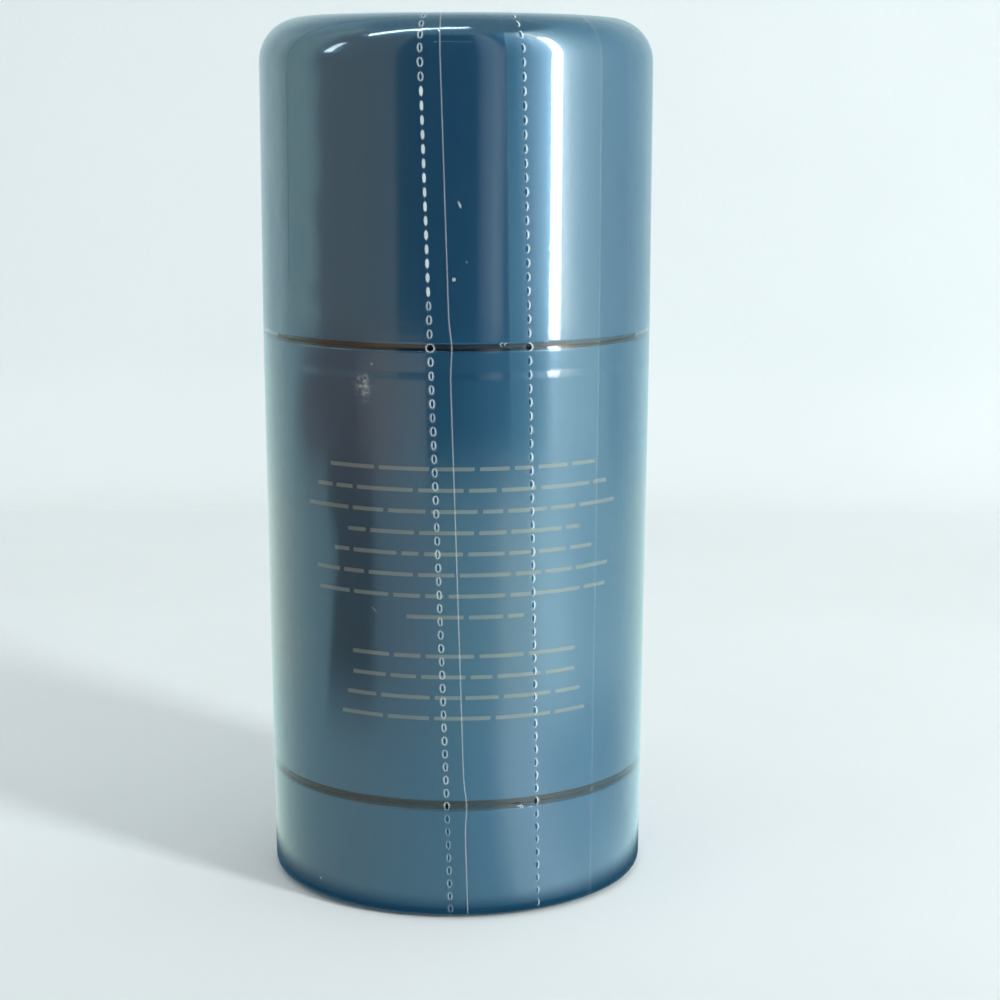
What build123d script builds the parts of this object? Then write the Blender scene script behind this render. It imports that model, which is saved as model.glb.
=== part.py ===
from build123d import *
import os
from math import cos, pi, radians, sin

# Twist-up deodorant stick in a clear shrink sleeve. Millimetres, +Z up along the pack's
# axis, origin on the floor at the centre of the base, front of the pack towards -Y.
#
# The lift screw stands in the inner barrel's floor and turns with the base dial. It draws
# the elevator up, which cannot turn because ribs in the bore run in its notches. The
# cap's liner pushes over the neck. The sleeve is parted at the two grooves where the pack
# opens, so that each of its lengths stays with the shell that it is shrunk onto.

# ---- driving dimensions -------------------------------------------------------------
total_height = 106.3
cap_radius = 24.0  # outside of the sleeve on the cap
base_radius = 23.37  # outside of the sleeve at floor level
cap_line = 68.6  # middle of the groove between cap and barrel
dial_line = 14.2  # middle of the groove between barrel and dial
cap_groove = 0.7
dial_groove = 1.0
shoulder = 5.25  # radius of the sleeve over the cap's shoulder
heel = 1.3  # radius of the sleeve round the bottom edge

film = 0.12
film_slack = 0.04  # between the sleeve and the shell under it
shell_wall = 1.6
dial_wall = 1.8
top_wall = 1.8
edge_round = 0.25  # on the shells' edges beside the grooves
snug = 0.05  # between parts that are pushed together
running = 0.1  # radial gap between parts that turn or slide in each other
floor_wall = 1.6

thread_lead = 4.0  # six turns of the dial raise the product by 24 mm

# ---- heights that follow ------------------------------------------------------------
sleeve_stack = film + film_slack
cap_bottom = cap_line + cap_groove / 2
barrel_top = cap_line - cap_groove / 2
barrel_bottom = dial_line + dial_groove / 2
dial_top = dial_line - dial_groove / 2
cap_top = total_height - sleeve_stack
floor_bottom = barrel_bottom + 0.9
floor_top = floor_bottom + floor_wall
draft = (cap_radius - base_radius) / cap_line


def sleeve_radius(height):
    """Outside radius of the sleeve: straight on the cap, drafted below its line."""
    return min(cap_radius, base_radius + draft * height)


def shell_radius(height):
    """Outside radius of the blue shells, just inside the sleeve."""
    return sleeve_radius(height) - sleeve_stack


def inside_shell(height):
    """Inside radius of the barrel shell, whose wall follows its draft."""
    return shell_radius(height) - shell_wall


def outline(*corners):
    """A closed profile through (radius, height) corners, to be revolved about Z."""
    with BuildSketch(Plane.XZ) as profile:
        with BuildLine():
            Polyline(*corners, close=True)
        make_face()
    return profile.sketch


def hoop(radius, height, section_radius):
    """The round section of a bead or a snap groove, centred at (radius, height)."""
    with BuildSketch(Plane.XZ) as profile:
        with Locations((radius, height)):
            Circle(section_radius)
    return profile.sketch


def helical_ridge(root_radius, first_height, turns, root_width, crest_width, rise):
    """A right-handed ridge on a cylinder. A negative rise points at the axis."""
    sunk = -0.3 if rise > 0 else 0.3  # how far the ridge starts inside its carrier
    with BuildPart() as ridge:
        with BuildLine() as path:
            Helix(
                pitch=thread_lead,
                height=thread_lead * turns,
                radius=root_radius,
                center=(0, 0, first_height),
            )
        start = Plane(origin=path.line @ 0, x_dir=(1, 0, 0), z_dir=path.line % 0)
        with BuildSketch(start):
            with BuildLine():
                Polyline(
                    (sunk, -root_width / 2),
                    (rise, -crest_width / 2),
                    (rise, crest_width / 2),
                    (sunk, root_width / 2),
                    close=True,
                )
            make_face()
        sweep(is_frenet=True)
    return ridge.part


def radial_bars(inner, outer, width, bottom, height, count, first_angle=90.0):
    """Flat upright bars that reach from one radius to another, evenly spaced."""
    with BuildPart() as bars:
        with BuildSketch(Plane.XY.offset(bottom)):
            with PolarLocations((inner + outer) / 2, count, start_angle=first_angle):
                Rectangle(outer - inner, width)
        extrude(amount=height)
    return bars.part


os.makedirs("parts", exist_ok=True)

# ---- inner barrel: dark container with neck, floor and guide ribs -----------------
bore_radius = 20.0
neck_radius = 21.0
neck_top = cap_line + 8.8
skirt_bottom = dial_top - 0.4  # a spigot that closes the view through the dial's groove
lip_wall = 1.0  # the shell's inward lip round the neck
flange_wall = 1.5
flange_top = barrel_top - lip_wall - snug
flange_bottom = flange_top - flange_wall
bearing_radius = 6.0
bead_height = cap_line + 4.2
bead_section = 0.8
bead_rise = 0.15
rib_count = 3
rib_width = 1.4
rib_depth = 0.8
rib_root = 0.3  # how far a rib starts inside the wall that carries it
rib_top = neck_top - 4.0
rim_round = 0.35

with BuildPart() as inner_barrel:
    top_flange = inside_shell(flange_bottom) - snug
    low_flange = inside_shell(floor_bottom) - snug
    revolve(
        outline(
            (bore_radius, skirt_bottom),
            (neck_radius, skirt_bottom),
            (neck_radius, floor_bottom),
            (low_flange, floor_bottom),
            (low_flange, floor_top),
            (neck_radius, floor_top),
            (neck_radius, flange_bottom),
            (top_flange, flange_bottom),
            (top_flange, flange_top),
            (neck_radius, flange_top),
            (neck_radius, neck_top),
            (bore_radius, neck_top),
            (bore_radius, floor_top),
            (bearing_radius, floor_top),
            (bearing_radius, floor_bottom),
            (bore_radius, floor_bottom),
        ),
        axis=Axis.Z,
    )
    mouth = inner_barrel.edges().filter_by(GeomType.CIRCLE).group_by(Axis.Z)[-1]
    fillet(mouth, rim_round)
    bead = hoop(neck_radius + bead_rise - bead_section, bead_height, bead_section)
    bore = outline(
        (0, floor_top), (bore_radius, floor_top), (bore_radius, neck_top), (0, neck_top)
    )
    revolve(bead - bore, axis=Axis.Z)
    add(
        radial_bars(
            bore_radius - rib_depth,
            bore_radius + rib_root,
            rib_width,
            floor_top,
            rib_top - floor_top,
            rib_count,
        )
    )
inner_barrel.part.label = "inner_barrel"
export_step(inner_barrel.part, "parts/inner_barrel.step")

# ---- barrel shell: glossy blue sleeve snapped over the inner barrel ------------------
with BuildPart() as barrel_shell:
    lip_radius = neck_radius + snug
    revolve(
        outline(
            (shell_radius(barrel_bottom), barrel_bottom),
            (shell_radius(barrel_top), barrel_top),
            (lip_radius, barrel_top),
            (lip_radius, barrel_top - lip_wall),
            (inside_shell(barrel_top - lip_wall), barrel_top - lip_wall),
            (inside_shell(barrel_bottom), barrel_bottom),
        ),
        axis=Axis.Z,
    )
    rings = barrel_shell.edges().filter_by(GeomType.CIRCLE)
    top_edge = rings.group_by(Axis.Z)[-1].sort_by(SortBy.RADIUS)[-1]
    bottom_edge = rings.group_by(Axis.Z)[0].sort_by(SortBy.RADIUS)[-1]
    fillet([top_edge, bottom_edge], edge_round)
barrel_shell.part.label = "barrel_shell"
export_step(barrel_shell.part, "parts/barrel_shell.step")

# ---- cap shell: glossy blue cup with a flat top --------------------------------------
cap_inside = shell_radius(cap_line) - shell_wall

with BuildPart() as cap_shell:
    revolve(
        outline(
            (0, cap_top),
            (shell_radius(cap_line), cap_top),
            (shell_radius(cap_line), cap_bottom),
            (cap_inside, cap_bottom),
            (cap_inside, cap_top - top_wall),
            (0, cap_top - top_wall),
        ),
        axis=Axis.Z,
    )
    rings = cap_shell.edges().filter_by(GeomType.CIRCLE)
    outside_rings = rings.filter_by(lambda ring: ring.radius > cap_inside + snug)
    fillet(outside_rings.group_by(Axis.Z)[-1], shoulder - sleeve_stack)
    fillet(outside_rings.group_by(Axis.Z)[0], edge_round)
    ceiling_ring = rings.filter_by(lambda ring: ring.radius < cap_inside + snug)
    fillet(ceiling_ring.group_by(Axis.Z)[-1], shoulder - sleeve_stack - top_wall)
cap_shell.part.label = "cap_shell"
export_step(cap_shell.part, "parts/cap_shell.step")

# ---- cap liner: dark inner cup that grips the neck --------------------------------
liner_wall = 1.0
liner_outer = cap_inside - snug
liner_inner = liner_outer - liner_wall
liner_bottom = barrel_top + 0.15
liner_top = cap_top - top_wall - snug
liner_corner = 4.0
groove_section = 1.0
groove_depth = 0.15

with BuildPart() as cap_liner:
    revolve(
        outline(
            (0, liner_top),
            (liner_outer, liner_top),
            (liner_outer, liner_bottom),
            (liner_inner, liner_bottom),
            (liner_inner, liner_top - liner_wall),
            (0, liner_top - liner_wall),
        ),
        axis=Axis.Z,
    )
    rings = cap_liner.edges().filter_by(GeomType.CIRCLE)
    top_ring = rings.group_by(Axis.Z)[-1]
    ceiling_ring = rings.group_by(Axis.Z)[-2]
    fillet(top_ring, liner_corner)
    fillet(ceiling_ring, liner_corner - liner_wall)
    revolve(
        hoop(liner_inner + groove_depth - groove_section, bead_height, groove_section),
        axis=Axis.Z,
        mode=Mode.SUBTRACT,
    )
cap_liner.part.label = "cap_liner"
export_step(cap_liner.part, "parts/cap_liner.step")

# ---- dial shell: glossy blue base cup that the hand turns ----------------------------
foot_inner = 19.0
foot_outer = 20.6
foot_height = 0.3  # the standing ring keeps the sleeve's tucked hem off the floor
underside_recess = 0.7
dial_floor = underside_recess + 1.6

with BuildPart() as dial_shell:
    revolve(
        outline(
            (0, underside_recess),
            (foot_inner, underside_recess),
            (foot_inner, 0),
            (foot_outer, 0),
            (foot_outer, foot_height),
            (shell_radius(foot_height), foot_height),
            (shell_radius(dial_top), dial_top),
            (shell_radius(dial_top) - dial_wall, dial_top),
            (shell_radius(dial_floor) - dial_wall, dial_floor),
            (0, dial_floor),
        ),
        axis=Axis.Z,
    )
    rings = dial_shell.edges().filter_by(GeomType.CIRCLE)
    heel_ring = rings.filter_by(lambda ring: ring.radius > foot_outer + snug).group_by(Axis.Z)[0]
    rim_ring = rings.sort_by(SortBy.RADIUS)[-1]
    fillet(heel_ring, heel - sleeve_stack)
    fillet(rim_ring, edge_round)
dial_shell.part.label = "dial_shell"
export_step(dial_shell.part, "parts/dial_shell.step")

# ---- lift screw: drive foot, journal in the floor, collar and thread -----------------
drive_flats = 7.0
core_radius = 4.0
thread_rise = 1.5
thread_root = 1.8
thread_crest = 0.9
journal_radius = bearing_radius - running
collar_radius = 7.8
collar_wall = 0.8
foot_bottom = dial_floor + 0.3
journal_bottom = floor_bottom - 0.2
collar_bottom = floor_top + running
collar_top = collar_bottom + collar_wall
screw_top = neck_top - 11.4
thread_start = collar_top + thread_root
thread_turns = 11

with BuildPart() as lift_screw:
    with BuildSketch(Plane.XY.offset(foot_bottom)):
        RegularPolygon(radius=drive_flats / 2, side_count=6, major_radius=False)
    extrude(amount=journal_bottom - foot_bottom)
    chamfer(lift_screw.edges().group_by(Axis.Z)[0], 0.4)
    with BuildSketch(Plane.XY.offset(journal_bottom)):
        Circle(journal_radius)
    extrude(amount=collar_bottom - journal_bottom)
    with BuildSketch(Plane.XY.offset(collar_bottom)):
        Circle(collar_radius)
    extrude(amount=collar_wall)
    with BuildSketch(Plane.XY.offset(collar_top)):
        Circle(core_radius)
    extrude(amount=screw_top - collar_top)
    chamfer(lift_screw.edges().group_by(Axis.Z)[-1], 1.0)
    add(
        helical_ridge(
            core_radius, thread_start, thread_turns, thread_root, thread_crest, thread_rise
        )
    )
lift_screw.part.label = "lift_screw"
export_step(lift_screw.part, "parts/lift_screw.step")

# ---- hand wheel: dark drum that locks the dial shell to the screw -----------------
wheel_radius = shell_radius(dial_floor) - dial_wall - snug
wheel_bottom = dial_floor + snug
wheel_rim_wall = 1.2
wheel_rim_top = skirt_bottom - 0.4
web_bottom = wheel_rim_top - 2.4
web_wall = 1.2
hub_radius = 7.4
hub_top = journal_bottom - snug
spoke_count = 6
spoke_wall = 1.0
spoke_bottom = wheel_bottom + 1.0

with BuildPart() as hand_wheel:
    revolve(
        outline(
            (0, wheel_bottom),
            (hub_radius, wheel_bottom),
            (hub_radius, web_bottom),
            (wheel_radius - wheel_rim_wall, web_bottom),
            (wheel_radius - wheel_rim_wall, wheel_bottom),
            (wheel_radius, wheel_bottom),
            (wheel_radius, wheel_rim_top),
            (wheel_radius - wheel_rim_wall, wheel_rim_top),
            (wheel_radius - wheel_rim_wall, web_bottom + web_wall),
            (hub_radius, web_bottom + web_wall),
            (hub_radius, hub_top),
            (0, hub_top),
        ),
        axis=Axis.Z,
    )
    add(
        radial_bars(
            hub_radius - rib_root,
            wheel_radius - wheel_rim_wall + rib_root,
            spoke_wall,
            spoke_bottom,
            web_bottom - spoke_bottom,
            spoke_count,
        )
    )
    with BuildSketch(Plane.XY.offset(wheel_bottom)):
        RegularPolygon(radius=drive_flats / 2 + snug, side_count=6, major_radius=False)
    extrude(amount=hub_top - wheel_bottom, mode=Mode.SUBTRACT)
hand_wheel.part.label = "hand_wheel"
export_step(hand_wheel.part, "parts/hand_wheel.step")

# ---- elevator: the cup that carries the product up -----------------------------------
elevator_bottom = collar_top + 0.3
elevator_wall = 1.6
plate_top = elevator_bottom + elevator_wall
wiper_radius = bore_radius - 0.2
wiper_wall = 1.0
wiper_top = plate_top + 2.4
nut_radius = 8.2
nut_bore = core_radius + thread_rise + 0.2
nut_top = elevator_bottom + 9.0
nut_ridge_root = 2.6
nut_ridge_crest = 1.7
nut_ridge_rise = nut_bore - core_radius - 0.3
notch_inner = bore_radius - rib_depth - 0.2
notch_width = rib_width + 0.3

# fins that key the product to the plate, turned clear of the rib notches
fin_reach = 14.0
fin_wall = 1.2
fin_height = 6.0
key_fins = radial_bars(nut_radius - rib_root, fin_reach, fin_wall, plate_top, fin_height, 3, 30)

with BuildPart() as elevator:
    revolve(
        outline(
            (nut_bore, elevator_bottom),
            (wiper_radius, elevator_bottom),
            (wiper_radius, wiper_top),
            (wiper_radius - wiper_wall, wiper_top),
            (wiper_radius - wiper_wall, plate_top),
            (nut_radius, plate_top),
            (nut_radius, nut_top),
            (nut_bore, nut_top),
        ),
        axis=Axis.Z,
    )
    add(
        radial_bars(
            notch_inner,
            bore_radius,
            notch_width,
            elevator_bottom,
            wiper_top - elevator_bottom,
            rib_count,
        ),
        mode=Mode.SUBTRACT,
    )
    add(key_fins)
    # one turn of nut thread, midway between two turns of the screw's
    add(
        helical_ridge(
            nut_bore,
            thread_start + thread_lead / 2,
            1,
            nut_ridge_root,
            nut_ridge_crest,
            -nut_ridge_rise,
        )
    )
elevator.part.label = "elevator"
export_step(elevator.part, "parts/elevator.step")

# ---- deodorant stick: gel poured round the elevator's nut and fins -------------------
stick_radius = bore_radius - running
stick_edge = neck_top - 1.6
stick_crown = 2.8
crown_radius = (stick_radius**2 + stick_crown**2) / (2 * stick_crown)  # of its domed top
stick_bore = core_radius + thread_rise + 0.3
stick_bore_top = screw_top + 1.5

with BuildPart() as deodorant_stick:
    with BuildSketch(Plane.XZ):
        with BuildLine():
            crown = (0, stick_edge + stick_crown)
            RadiusArc(crown, (stick_radius, stick_edge), crown_radius)
            Polyline(
                crown,
                (0, stick_bore_top),
                (stick_bore, stick_bore_top),
                (stick_bore, nut_top),
                (nut_radius, nut_top),
                (nut_radius, plate_top),
                (wiper_radius - wiper_wall, plate_top),
                (wiper_radius - wiper_wall, wiper_top),
                (stick_radius, wiper_top),
                (stick_radius, stick_edge),
            )
        make_face()
    revolve(axis=Axis.Z)
    add(
        radial_bars(
            notch_inner,
            bore_radius,
            notch_width,
            wiper_top,
            rib_top + 0.2 - wiper_top,
            rib_count,
        ),
        mode=Mode.SUBTRACT,
    )
    add(key_fins, mode=Mode.SUBTRACT)
deodorant_stick.part.label = "deodorant_stick"
export_step(deodorant_stick.part, "parts/deodorant_stick.step")

# ---- clear sleeve, with its two rows of tear perforations -----------------------------
hem_radius = 16.5  # edge of the sleeve on the cap's flat top
tuck_radius = foot_outer + 0.6  # edge of the sleeve under the base
tuck_height = foot_height - sleeve_stack
slit_pitch = 1.58
slit_height = 0.9
slit_width = 0.22
slit_margin = 0.9  # from a slit's centre to the nearest edge of its length of sleeve
row_angles = ((-9.1, -0.9), (19.0, 25.5))  # from the front, at the top and at the floor
front = -90.0  # direction of the pack's front about Z


def slits(bottom, top):
    """Places of the slits between two heights, on both slowly leaning rows."""
    places = []
    for top_angle, floor_angle in row_angles:
        for number in range(int(total_height / slit_pitch)):
            height = (number + 0.5) * slit_pitch
            if bottom + slit_margin < height < top - slit_margin:
                share = height / total_height
                turn = radians(front + floor_angle + (top_angle - floor_angle) * share)
                radius = sleeve_radius(height)
                place = (radius * cos(turn), radius * sin(turn), height)
                places.append(Location(place, (0, 0, turn * 180 / pi)))
    return places


with BuildPart() as cap_film:
    with BuildSketch(Plane.XZ):
        with BuildLine():
            outside = FilletPolyline(
                (hem_radius, total_height),
                (cap_radius, total_height),
                (cap_radius, cap_bottom),
                radius=shoulder,
            )
            inside = FilletPolyline(
                (hem_radius, total_height - film),
                (cap_radius - film, total_height - film),
                (cap_radius - film, cap_bottom),
                radius=shoulder - film,
            )
            Line(outside @ 0, inside @ 0)
            Line(outside @ 1, inside @ 1)
        make_face()
    revolve(axis=Axis.Z)
    with Locations(*slits(cap_bottom, total_height - shoulder)):
        Box(4 * film, slit_width, slit_height, mode=Mode.SUBTRACT)
cap_film.part.label = "cap_film"
export_step(cap_film.part, "parts/cap_film.step")

with BuildPart() as barrel_film:
    revolve(
        outline(
            (sleeve_radius(barrel_bottom), barrel_bottom),
            (sleeve_radius(barrel_top), barrel_top),
            (sleeve_radius(barrel_top) - film, barrel_top),
            (sleeve_radius(barrel_bottom) - film, barrel_bottom),
        ),
        axis=Axis.Z,
    )
    with Locations(*slits(barrel_bottom, barrel_top)):
        Box(4 * film, slit_width, slit_height, mode=Mode.SUBTRACT)
barrel_film.part.label = "barrel_film"
export_step(barrel_film.part, "parts/barrel_film.step")

with BuildPart() as dial_film:
    with BuildSketch(Plane.XZ):
        with BuildLine():
            outside = FilletPolyline(
                (sleeve_radius(dial_top), dial_top),
                (sleeve_radius(tuck_height), tuck_height),
                (tuck_radius, tuck_height),
                radius=heel,
            )
            inside = FilletPolyline(
                (sleeve_radius(dial_top) - film, dial_top),
                (sleeve_radius(tuck_height) - film, tuck_height + film),
                (tuck_radius, tuck_height + film),
                radius=heel - film,
            )
            Line(outside @ 0, inside @ 0)
            Line(outside @ 1, inside @ 1)
        make_face()
    revolve(axis=Axis.Z)
    with Locations(*slits(heel, dial_top)):
        Box(4 * film, slit_width, slit_height, mode=Mode.SUBTRACT)
dial_film.part.label = "dial_film"
export_step(dial_film.part, "parts/dial_film.step")
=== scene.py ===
"""Looks for a twist-up deodorant stick in a clear shrink sleeve.

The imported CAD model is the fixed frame. This add-on gives its parts their finishes, replaces
the sleeve's three lengths with detailed ones, adds the print on the barrel and the torn bits
of film, and sets the stage. Metres, +Z up the pack's axis, the front of the pack towards -Y.
"""

import math

import bpy
import numpy as np
from mathutils import Matrix, Vector


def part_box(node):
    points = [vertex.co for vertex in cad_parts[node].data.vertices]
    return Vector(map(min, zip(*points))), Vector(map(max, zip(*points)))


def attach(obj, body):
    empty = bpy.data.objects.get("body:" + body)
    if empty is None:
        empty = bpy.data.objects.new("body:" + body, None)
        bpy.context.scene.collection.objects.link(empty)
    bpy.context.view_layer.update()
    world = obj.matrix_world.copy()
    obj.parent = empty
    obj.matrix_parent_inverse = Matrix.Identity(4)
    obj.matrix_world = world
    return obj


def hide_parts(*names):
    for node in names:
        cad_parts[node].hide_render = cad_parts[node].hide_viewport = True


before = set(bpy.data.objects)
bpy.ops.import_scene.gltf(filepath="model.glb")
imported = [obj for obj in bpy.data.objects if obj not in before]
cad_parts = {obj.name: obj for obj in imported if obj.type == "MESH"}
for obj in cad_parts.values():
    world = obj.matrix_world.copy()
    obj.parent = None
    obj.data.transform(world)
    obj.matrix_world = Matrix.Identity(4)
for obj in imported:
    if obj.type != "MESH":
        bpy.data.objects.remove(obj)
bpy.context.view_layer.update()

bl_info = {
    "name": "Sleeved stick looks",
    "version": (1, 0, 0),
    "blender": (4, 5, 0),
    "location": "View3D > Sidebar > Stick",
    "description": "Finishes, shrink sleeve, print and stage for a twist-up stick",
    "category": "Object",
}

MM = 0.001
HALF_TURN = math.pi
QUARTER_TURN = HALF_TURN / 2

# ---- sizes that come from the frame -----------------------------------------------------
TOTAL_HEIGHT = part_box("cap_film")[1].z
CAP_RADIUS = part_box("cap_film")[1].x
CAP_LINE = (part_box("cap_film")[0].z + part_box("barrel_film")[1].z) / 2
DIAL_LINE = (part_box("barrel_film")[0].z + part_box("dial_film")[1].z) / 2
TUCK_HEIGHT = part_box("dial_film")[0].z
DRAFT = (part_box("barrel_film")[1].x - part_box("dial_film")[1].x) / (
    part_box("barrel_film")[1].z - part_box("dial_film")[1].z
)
BASE_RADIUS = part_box("dial_film")[1].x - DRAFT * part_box("dial_film")[1].z
SHELL_GAP = CAP_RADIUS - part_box("cap_shell")[1].x


# ---- settings that a user would change ---------------------------------------------------
def length(name, description, millimetres):
    """A length property that is shown in scene units, with its default in millimetres."""
    return bpy.props.FloatProperty(
        name=name, description=description, default=millimetres * MM, unit="LENGTH", precision=6
    )


def angle(name, description, degrees):
    """An angle property with its default in degrees."""
    return bpy.props.FloatProperty(
        name=name, description=description, default=math.radians(degrees), subtype="ANGLE"
    )


def colour(name, description, *channels):
    """A linear colour property."""
    return bpy.props.FloatVectorProperty(
        name=name, description=description, default=channels, subtype="COLOR", min=0, max=1
    )


def factor(name, description, share):
    """A share from nothing to all."""
    return bpy.props.FloatProperty(
        name=name, description=description, default=share, subtype="FACTOR", min=0, max=1
    )


class StickSleeveSettings(bpy.types.PropertyGroup):
    """Sizes of the shrink sleeve and of what marks it"""

    thickness: length("Film thickness", "Real thickness of the film", 0.05)
    inset: length("Inset", "How far the film lies inside the CAD sleeve's outside", 0.045)
    shoulder: length("Shoulder radius", "Radius of the film over the cap's shoulder", 5.25)
    heel: length("Heel radius", "Radius of the film round the bottom edge", 1.3)
    hem_radius: length("Hem radius", "Edge of the film on the cap's flat top", 16.5)
    tuck_radius: length("Tuck radius", "Edge of the film under the base", 21.2)
    parting: length("Parting", "Gap between two lengths at a groove", 0.03)
    slit_pitch: length("Slit pitch", "Spacing of the tear perforations", 1.6)
    slit_width: length("Slit half width", "Half the width of an open slit", 0.17)
    slit_rim: length("Slit rim", "Width of the pale rim round a slit", 0.19)
    groove_slit: length("Groove slit", "Half the width of the slits over a groove", 0.38)
    column_gap: length("Column gap", "Mesh spacing round the film between its marks", 2.0)
    seam_left_top: angle("Left seam, top", "Angle of the left perforations at the top", -9.1)
    seam_left_foot: angle("Left seam, foot", "Angle of the left perforations at the floor", -0.9)
    seam_right_top: angle("Right seam, top", "Angle of the right perforations at the top", 19.0)
    seam_right_foot: angle("Right seam, foot", "Angle of the right perforations at the floor", 25.5)
    crease_rise: length("Crease rise", "Height of the sharp crease in the film", 0.035)
    fold_rise: length("Fold rise", "Height of the soft fold on the right", 0.03)
    ridge_height: length("Ridge height", "Height above the floor of the ridge under the cap", 64.75)
    ridge_rise: length("Ridge rise", "How far the ridge stands out", 0.026)


class StickFinishSettings(bpy.types.PropertyGroup):
    """Colours and surface of the pack's materials"""

    blue: colour("Blue", "Deep tone of the blue plastic", 0.009, 0.080, 0.158)
    blue_light: colour("Light blue", "Light tone of the blue plastic", 0.012, 0.090, 0.174)
    neck: colour("Neck", "Dark neck, liner and wheel behind the grooves", 0.012, 0.020, 0.030)
    white: colour("White", "White polypropylene", 0.80, 0.80, 0.78)
    gel: colour("Gel", "The product", 0.70, 0.78, 0.80)
    # this tint also colours the film's painted highlights at the slits' right lips and the ends of
    # each length
    film: colour("Film", "Torn or creased film", 0.78, 0.88, 0.92)
    ink: colour("Ink", "Print on the barrel", 0.115, 0.155, 0.165)
    film_roughness: factor("Film roughness", "Roughness of the film's gloss", 0.045)
    dust: factor("Dust", "How thick the dust specks lie", 0.35)


class StickPrintSettings(bpy.types.PropertyGroup):
    """Sizes of the plain bars that stand for the print"""

    first_line: length("First line", "Height of the upper block's first line", 54.6)
    second_block: length("Second block", "Height of the lower block's first line", 32.4)
    line_pitch: length("Line pitch", "Spacing of the lines", 2.5)
    bar_height: length("Bar height", "Height of a bar", 0.46)
    centre: angle("Centre", "Angle of the middle of the print from the front", 3.5)


class StickStageSettings(bpy.types.PropertyGroup):
    """Camera, floor and lights"""

    camera_x: length("Camera X", "Camera to the right of the axis", 5.41)
    camera_distance: length("Camera distance", "Camera in front of the axis", 274.9)
    camera_height: length("Camera height", "Camera above the floor", 95.2)
    camera_pitch: angle("Camera pitch", "How far the camera looks down", 9.97)
    camera_roll: angle("Camera roll", "How far the camera leans", 0.10)
    camera_lens: bpy.props.FloatProperty(
        name="Lens",
        description="Focal length in millimetres",
        default=79.63,
        subtype="DISTANCE_CAMERA",
    )
    wall_distance: length("Wall distance", "Wall behind the axis", 285)
    floor: colour("Floor", "Paint of the floor and the wall", 0.82, 0.835, 0.845)
    key_power: bpy.props.FloatProperty(
        name="Key power", description="Power of the soft key light", default=3.6, unit="POWER"
    )
    ambient: bpy.props.FloatProperty(
        name="Ambient", description="Strength of the even light round the stage", default=0.84
    )


# ---- meshes -------------------------------------------------------------------------------
def mesh_object(name, points, faces, material):
    """A mesh object with one material, in the scene."""
    mesh = bpy.data.meshes.new(name)
    mesh.from_pydata(points, [], faces)
    mesh.materials.append(material)
    made = bpy.data.objects.new(name, mesh)
    bpy.context.scene.collection.objects.link(made)
    return made


def new_piece(name, points, faces, material, body):
    """A smooth mesh object that rides on a body and takes its finish from a slot."""
    piece = mesh_object(name, points, faces, material)
    piece.data.shade_smooth()
    piece.data.set_sharp_from_angle(angle=math.radians(50))
    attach(piece, body)
    return piece


def round_points(radius, height, turn):
    """Points at a radius, a height and an angle from the front, which is towards -Y."""
    across, ahead = radius * np.sin(turn), -radius * np.cos(turn)
    return np.stack([across, ahead, height + 0 * across], axis=-1)


def closed_sheet(keep, wraps):
    """Faces of a thin closed sheet on a grid of points and its copy behind it.

    keep says which cells exist. Walls close the sheet along every edge of what is kept.
    """
    rows = keep.shape[0] + 1
    columns = keep.shape[1] + (0 if wraps else 1)
    index = np.arange(rows * columns).reshape(rows, columns)
    right = np.roll(index, -1, axis=1) if wraps else index[:, 1:]
    left = index if wraps else index[:, :-1]
    behind = rows * columns
    front = np.stack([left[:-1], right[:-1], right[1:], left[1:]], axis=-1)[keep]
    parts = [front, front[:, ::-1] + behind]
    nothing = np.zeros((1, keep.shape[1]), bool)
    below = np.vstack([nothing, keep])
    above = np.vstack([keep, nothing])
    for edge, start, end in ((above & ~below, right, left), (below & ~above, left, right)):
        one, other = start[edge], end[edge]
        parts.append(np.stack([one, other, other + behind, one + behind], axis=-1))
    if wraps:
        before, after, line = np.roll(keep, 1, axis=1), keep, index
    else:
        nothing = np.zeros((keep.shape[0], 1), bool)
        before, after, line = np.hstack([nothing, keep]), np.hstack([keep, nothing]), index
    for edge, start, end in (
        (after & ~before, line[:-1], line[1:]),
        (before & ~after, line[1:], line[:-1]),
    ):
        one, other = start[edge], end[edge]
        parts.append(np.stack([one, other, other + behind, one + behind], axis=-1))
    return np.concatenate(parts)


def rail_faces(first, count):
    """Faces of a closed strip with four sides, from four rails of points that start at first."""
    rails = np.arange(first, first + 4 * count).reshape(4, count)
    faces = []
    for one, other in ((0, 1), (1, 3), (3, 2), (2, 0)):
        for step in range(count - 1):
            faces.append(
                (rails[one, step], rails[one, step + 1], rails[other, step + 1], rails[other, step])
            )
    faces.append((rails[0, 0], rails[1, 0], rails[3, 0], rails[2, 0]))
    faces.append((rails[0, -1], rails[2, -1], rails[3, -1], rails[1, -1]))
    return faces


def drop_unused(points, faces, *values):
    """Leaves out the points that no face uses, with their values."""
    used = np.unique(faces)
    place = np.zeros(len(points), int)
    place[used] = np.arange(len(used))
    return (points[used], place[faces], *(value[used] for value in values))


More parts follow.
